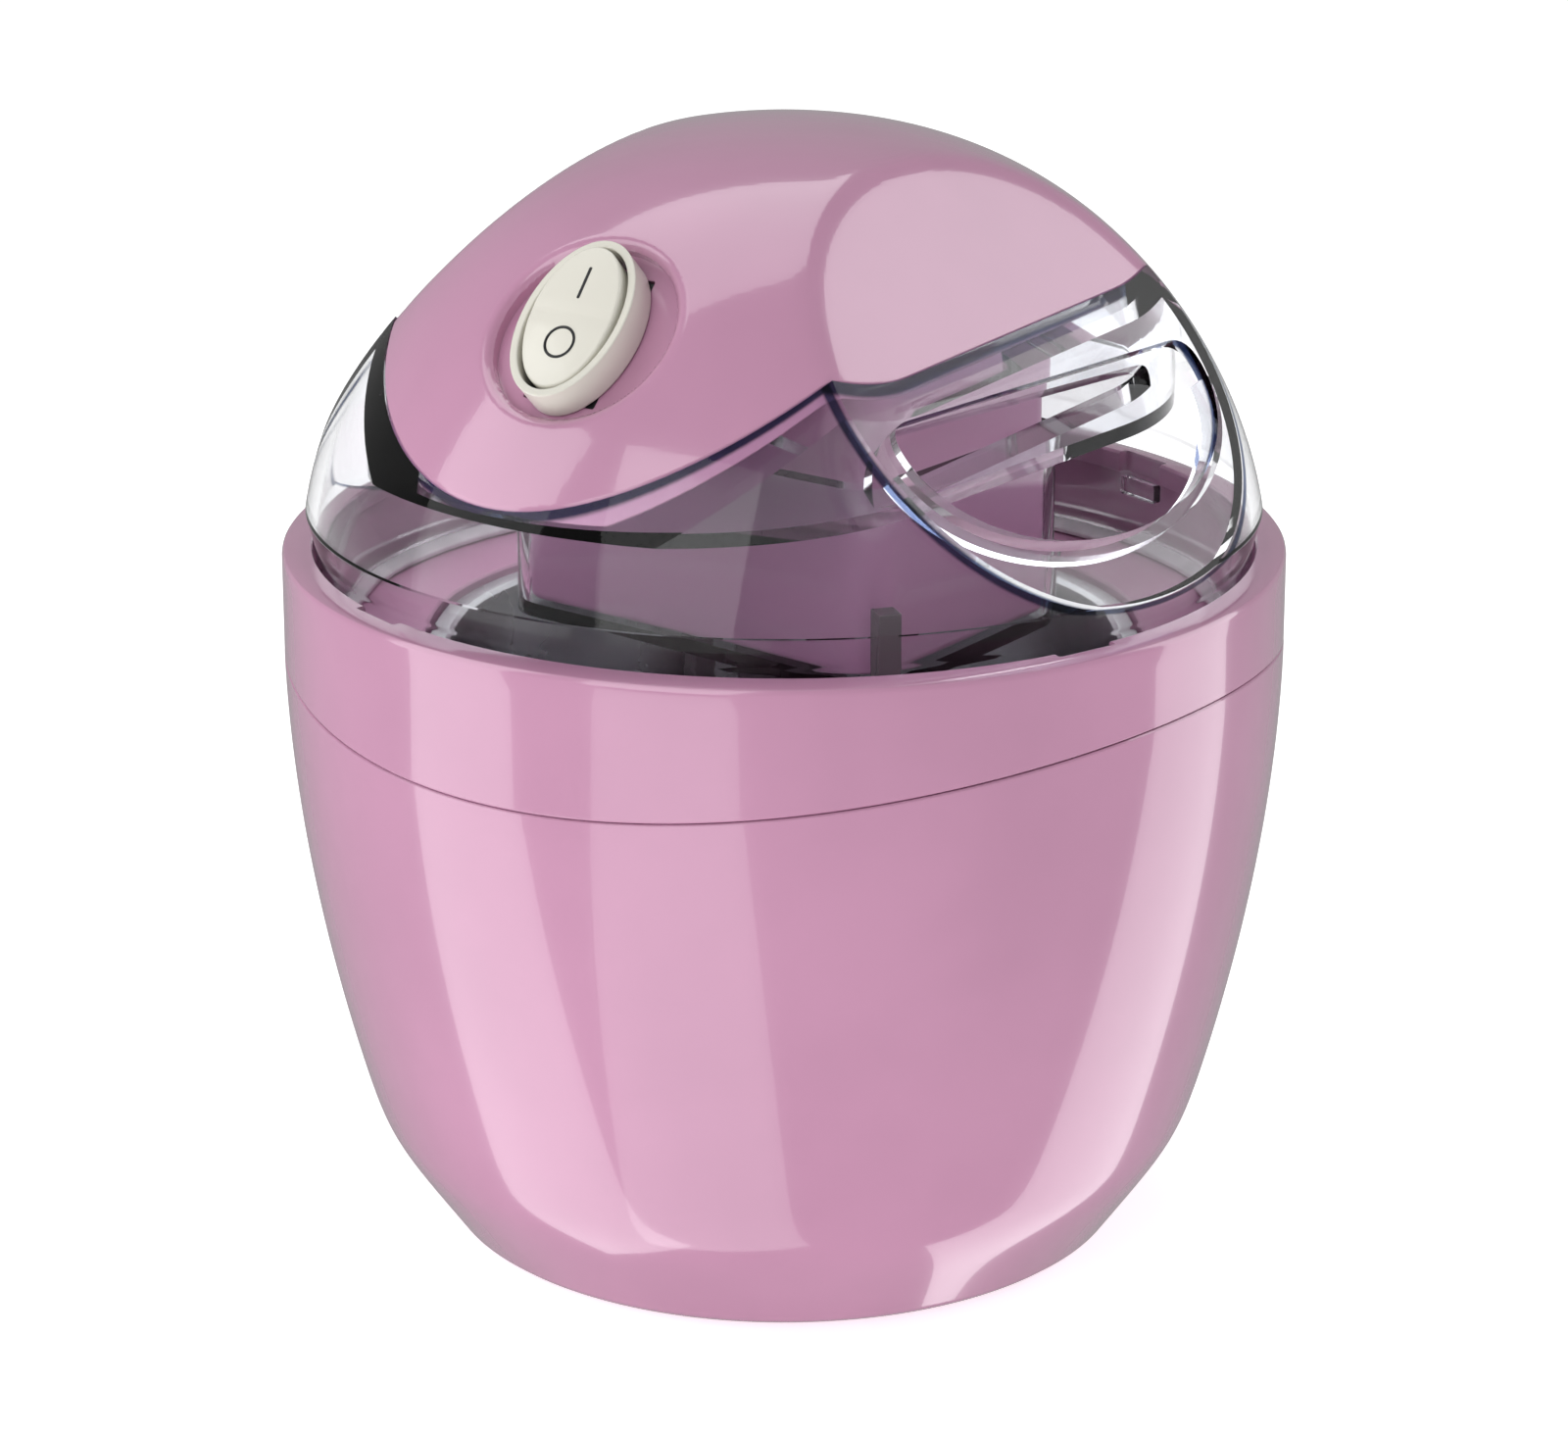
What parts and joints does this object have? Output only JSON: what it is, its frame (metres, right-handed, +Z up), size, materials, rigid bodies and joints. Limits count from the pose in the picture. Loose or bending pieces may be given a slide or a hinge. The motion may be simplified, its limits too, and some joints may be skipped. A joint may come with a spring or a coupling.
{
  "type": "ice cream maker",
  "caption": "Compact ice cream maker: round housing with a lift-out freezer bowl, clear faceted lid with a D-shaped filling opening, and a motor unit that turns a mixing paddle.",
  "frame": {"origin": "middle of the footprint, on the table, under the bowl's axis", "axes": "+Z up along the bowl's and paddle's axis, -Y towards the front, +X to the right"},
  "size_m": [0.18, 0.18, 0.2029],
  "materials": {
    "housing_pink": "gloss moulded plastic",
    "shell_pink": "gloss moulded plastic",
    "ring_pink": "semi-gloss moulded plastic",
    "motor_housing_pink": "semi-gloss moulded plastic",
    "lid_clear": "clear polished polystyrene",
    "foot_rubber": "matt rubber",
    "bowl_plastic": "satin polypropylene",
    "liner_aluminium": "satin spun aluminium",
    "gel": "coolant gel",
    "seal_silicone": "translucent silicone",
    "white_nylon": "natural nylon",
    "paddle_smoke": "dark smoke plastic",
    "screw_steel": "zinc plated",
    "plate_steel": "plated sheet steel",
    "gland_rubber": "soft moulded rubber",
    "switch_white": "off-white moulded plastic",
    "switch_black": "black nylon",
    "brass": "plain brass",
    "rotor_ferrite": "ferrite magnet on a steel shaft",
    "copper": "enamelled copper winding"
  },
  "bodies": {
    "base": {"base_housing": "housing_pink", "collar_ring": "housing_pink", "foot_1": "foot_rubber", "foot_2": "foot_rubber", "foot_3": "foot_rubber", "foot_4": "foot_rubber"},
    "bowl": {"bowl_outer": "bowl_plastic", "bowl_liner": "liner_aluminium", "coolant_gel": "gel", "bowl_ring": "ring_pink", "filler_plug": "bowl_plastic"},
    "seal": {"lid_seal": "seal_silicone"},
    "lid": {"lid": "lid_clear", "drive_bush": "white_nylon"},
    "paddle": {"paddle": "paddle_smoke"},
    "motor_unit": {"motor_shell": "shell_pink", "motor_housing": "motor_housing_pink", "housing_screw_1": "screw_steel", "housing_screw_2": "screw_steel", "housing_screw_3": "screw_steel", "housing_screw_4": "screw_steel", "cord_gland": "gland_rubber", "switch_bezel": "switch_white", "switch_body": "switch_black", "switch_terminal_1": "brass", "switch_terminal_2": "brass", "gear_plate_lower": "plate_steel", "gear_plate_upper": "plate_steel", "gear_pillar_1": "brass", "gear_pillar_2": "brass", "gear_pillar_3": "brass", "gear_pillar_4": "brass", "idler_axle": "screw_steel", "stator_coil": "copper", "motor_can": "plate_steel"},
    "rocker": {"switch_rocker": "switch_white"},
    "rotor": {"rotor": "rotor_ferrite"},
    "idler": {"idler_gear": "white_nylon"},
    "output": {"output_gear": "white_nylon"}
  },
  "joints": [
    {"name": "bowl_lift", "type": "slide", "parent": "base", "child": "bowl", "axis": [0, 0, 1], "range_m": [0, 0.12]},
    {"name": "lid_lift", "type": "slide", "parent": "bowl", "child": "seal", "axis": [0, 0, 1], "range_m": [0, 0.11]},
    {"name": "lid_turn", "type": "hinge", "parent": "seal", "child": "lid", "pos_m": [0, 0, 0.113], "axis": [0, 0, 1], "range_deg": [0, 14]},
    {"name": "paddle_spin", "type": "hinge", "parent": "lid", "child": "paddle", "pos_m": [0, 0, 0.12], "axis": [0, 0, 1], "continuous": true},
    {"name": "motor_lift", "type": "slide", "parent": "lid", "child": "motor_unit", "axis": [0, 0, 1], "range_m": [0, 0.07]},
    {"name": "rocker_tilt", "type": "hinge", "parent": "motor_unit", "child": "rocker", "pos_m": [-0.03408, -0.05053, 0.17885], "axis": [-0.829, 0.5592, 0], "range_deg": [0, 10.5]},
    {"name": "output_spin", "type": "hinge", "parent": "motor_unit", "child": "output", "pos_m": [0, 0, 0.122], "axis": [0, 0, 1], "continuous": true},
    {"name": "idler_spin", "type": "hinge", "parent": "motor_unit", "child": "idler", "pos_m": [0.01135, -0.00887, 0.124], "axis": [0, 0, 1], "continuous": true},
    {"name": "rotor_spin", "type": "hinge", "parent": "motor_unit", "child": "rotor", "pos_m": [0, 0, 0.142], "axis": [0, 0, 1], "continuous": true}
  ],
  "couplings": [
    {"joint": "output_spin", "follows": "paddle_spin", "ratio": 1},
    {"joint": "idler_spin", "follows": "paddle_spin", "ratio": -3},
    {"joint": "rotor_spin", "follows": "paddle_spin", "ratio": 9}
  ]
}
